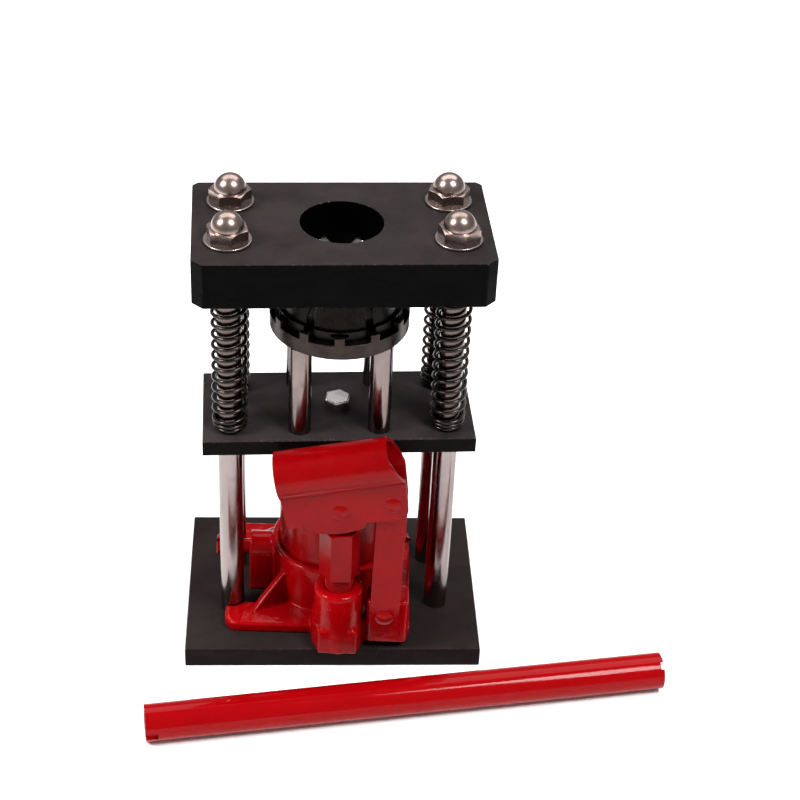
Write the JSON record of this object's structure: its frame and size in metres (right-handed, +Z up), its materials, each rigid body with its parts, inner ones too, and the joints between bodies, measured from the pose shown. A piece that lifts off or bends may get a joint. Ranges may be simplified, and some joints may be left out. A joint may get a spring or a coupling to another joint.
{
  "type": "hydraulic hose crimping press",
  "caption": "Hand hydraulic press that lifts a ring of tapered dies into a tapered bore to crimp hose ferrules, with a loose pump handle.",
  "frame": {"origin": "underside of the base plate, under the common axis of the ram, the die ring and the tapered bore", "axes": "+X to the right along the plates' long side, +Y away from the pump side, +Z up along the ram"},
  "size_m": [0.2831, 0.18, 0.2662],
  "materials": {
    "black_plate": "black oxide on milled steel plate, satin, faint saw marks on the edges",
    "column_chrome": "polished hard-chromed round bar",
    "stainless": "turned stainless steel, bright",
    "spring_steel": "oiled dark spring wire",
    "post_steel": "ground bright steel rod",
    "ring_steel": "turned steel, brownish black finish with a brighter rim",
    "die_steel": "hardened and blackened steel with upright grinding marks",
    "red_paint": "thick glossy red enamel",
    "ground_steel": "ground steel, bright",
    "seal_rubber": "black oil-resistant rubber",
    "gasket_copper": "soft copper"
  },
  "bodies": {
    "frame": {"base_plate": "black_plate", "top_plate": "black_plate", "column_washers": "stainless", "column_nuts": "stainless", "column_front_left": "column_chrome", "column_front_right": "column_chrome", "column_rear_left": "column_chrome", "column_rear_right": "column_chrome", "return_spring_front_left": "spring_steel", "return_spring_front_right": "spring_steel", "return_spring_rear_left": "spring_steel", "return_spring_rear_right": "spring_steel", "jack_base": "red_paint", "oil_tank": "red_paint", "tank_seal_lower": "seal_rubber", "tank_seal_upper": "seal_rubber", "pressure_cylinder": "ground_steel", "cylinder_gasket": "gasket_copper", "tank_top_nut": "red_paint", "ram_wiper": "seal_rubber", "oil_plug": "seal_rubber", "pump_body": "red_paint", "pump_gasket": "gasket_copper", "release_packing": "seal_rubber"},
    "lift": {"moving_plate": "black_plate", "ram": "ground_steel", "ram_bolt": "stainless", "piston_seal": "seal_rubber", "die_ring": "ring_steel", "push_post_front_left": "post_steel", "push_post_front_right": "post_steel", "push_post_rear_left": "post_steel", "push_post_rear_right": "post_steel"},
    "die_1": {"die_segment_1": "die_steel"},
    "die_2": {"die_segment_2": "die_steel"},
    "die_3": {"die_segment_3": "die_steel"},
    "die_4": {"die_segment_4": "die_steel"},
    "die_5": {"die_segment_5": "die_steel"},
    "die_6": {"die_segment_6": "die_steel"},
    "link": {"link_front": "red_paint", "link_rear": "red_paint", "link_pin": "red_paint", "link_pin_clip": "red_paint", "fulcrum_pin": "red_paint", "fulcrum_pin_clip": "red_paint"},
    "socket": {"handle_socket": "red_paint", "plunger_pin": "red_paint", "plunger_pin_clip": "red_paint"},
    "plunger": {"pump_plunger": "ground_steel", "plunger_seal": "seal_rubber"},
    "release_valve": {"release_valve": "red_paint"},
    "suction_valve": {"suction_ball": "ground_steel"},
    "discharge_valve": {"discharge_ball": "ground_steel"},
    "handle": {"pump_handle": "red_paint"}
  },
  "joints": [
    {"name": "ram_lift", "type": "slide", "parent": "frame", "child": "lift", "axis": [0, 0, 1], "range_m": [0, 0.02], "deforming": ["return_spring_front_left", "return_spring_front_right", "return_spring_rear_left", "return_spring_rear_right"]},
    {"name": "die_1_close", "type": "slide", "parent": "lift", "child": "die_1", "axis": [0.0523, 0.9986, 0], "range_m": [0, 0.00426]},
    {"name": "die_2_close", "type": "slide", "parent": "lift", "child": "die_2", "axis": [-0.8387, 0.5446, 0], "range_m": [0, 0.00426]},
    {"name": "die_3_close", "type": "slide", "parent": "lift", "child": "die_3", "axis": [-0.891, -0.454, 0], "range_m": [0, 0.00426]},
    {"name": "die_4_close", "type": "slide", "parent": "lift", "child": "die_4", "axis": [-0.0523, -0.9986, 0], "range_m": [0, 0.00426]},
    {"name": "die_5_close", "type": "slide", "parent": "lift", "child": "die_5", "axis": [0.8387, -0.5446, 0], "range_m": [0, 0.00426]},
    {"name": "die_6_close", "type": "slide", "parent": "lift", "child": "die_6", "axis": [0.891, 0.454, 0], "range_m": [0, 0.00426]},
    {"name": "link_swing", "type": "hinge", "parent": "frame", "child": "link", "pos_m": [0.02533, -0.05034, 0.0374], "axis": [0.0785, 0.9969, 0], "range_deg": [-1.8, 0.05]},
    {"name": "socket_swing", "type": "hinge", "parent": "link", "child": "socket", "pos_m": [0.02739, -0.05051, 0.11384], "axis": [0.0785, 0.9969, 0], "range_deg": [0, 40]},
    {"name": "plunger_stroke", "type": "slide", "parent": "frame", "child": "plunger", "axis": [0, 0, 1], "range_m": [0, 0.0183]},
    {"name": "release_turn", "type": "hinge", "parent": "frame", "child": "release_valve", "pos_m": [-0.05982, 0.00471, 0.0369], "axis": [0.9969, -0.0785, 0], "range_deg": [0, 270]},
    {"name": "suction_ball_lift", "type": "slide", "parent": "frame", "child": "suction_valve", "axis": [0, 0, 1], "range_m": [0, 0.001]},
    {"name": "discharge_ball_lift", "type": "slide", "parent": "frame", "child": "discharge_valve", "axis": [0, 0, 1], "range_m": [0, 0.001]},
    {"name": "handle_lift", "type": "slide", "parent": "frame", "child": "handle", "axis": [0, 0, 1], "range_m": [0, 0.1]}
  ],
  "couplings": [
    {"joint": "die_1_close", "follows": "ram_lift", "ratio": 0.21256},
    {"joint": "die_2_close", "follows": "ram_lift", "ratio": 0.21256},
    {"joint": "die_3_close", "follows": "ram_lift", "ratio": 0.21256},
    {"joint": "die_4_close", "follows": "ram_lift", "ratio": 0.21256},
    {"joint": "die_5_close", "follows": "ram_lift", "ratio": 0.21256},
    {"joint": "die_6_close", "follows": "ram_lift", "ratio": 0.21256},
    {"joint": "link_swing", "follows": "socket_swing", "ratio": -0.044},
    {"joint": "plunger_stroke", "follows": "socket_swing", "m_per_rad": 0.02607}
  ]
}
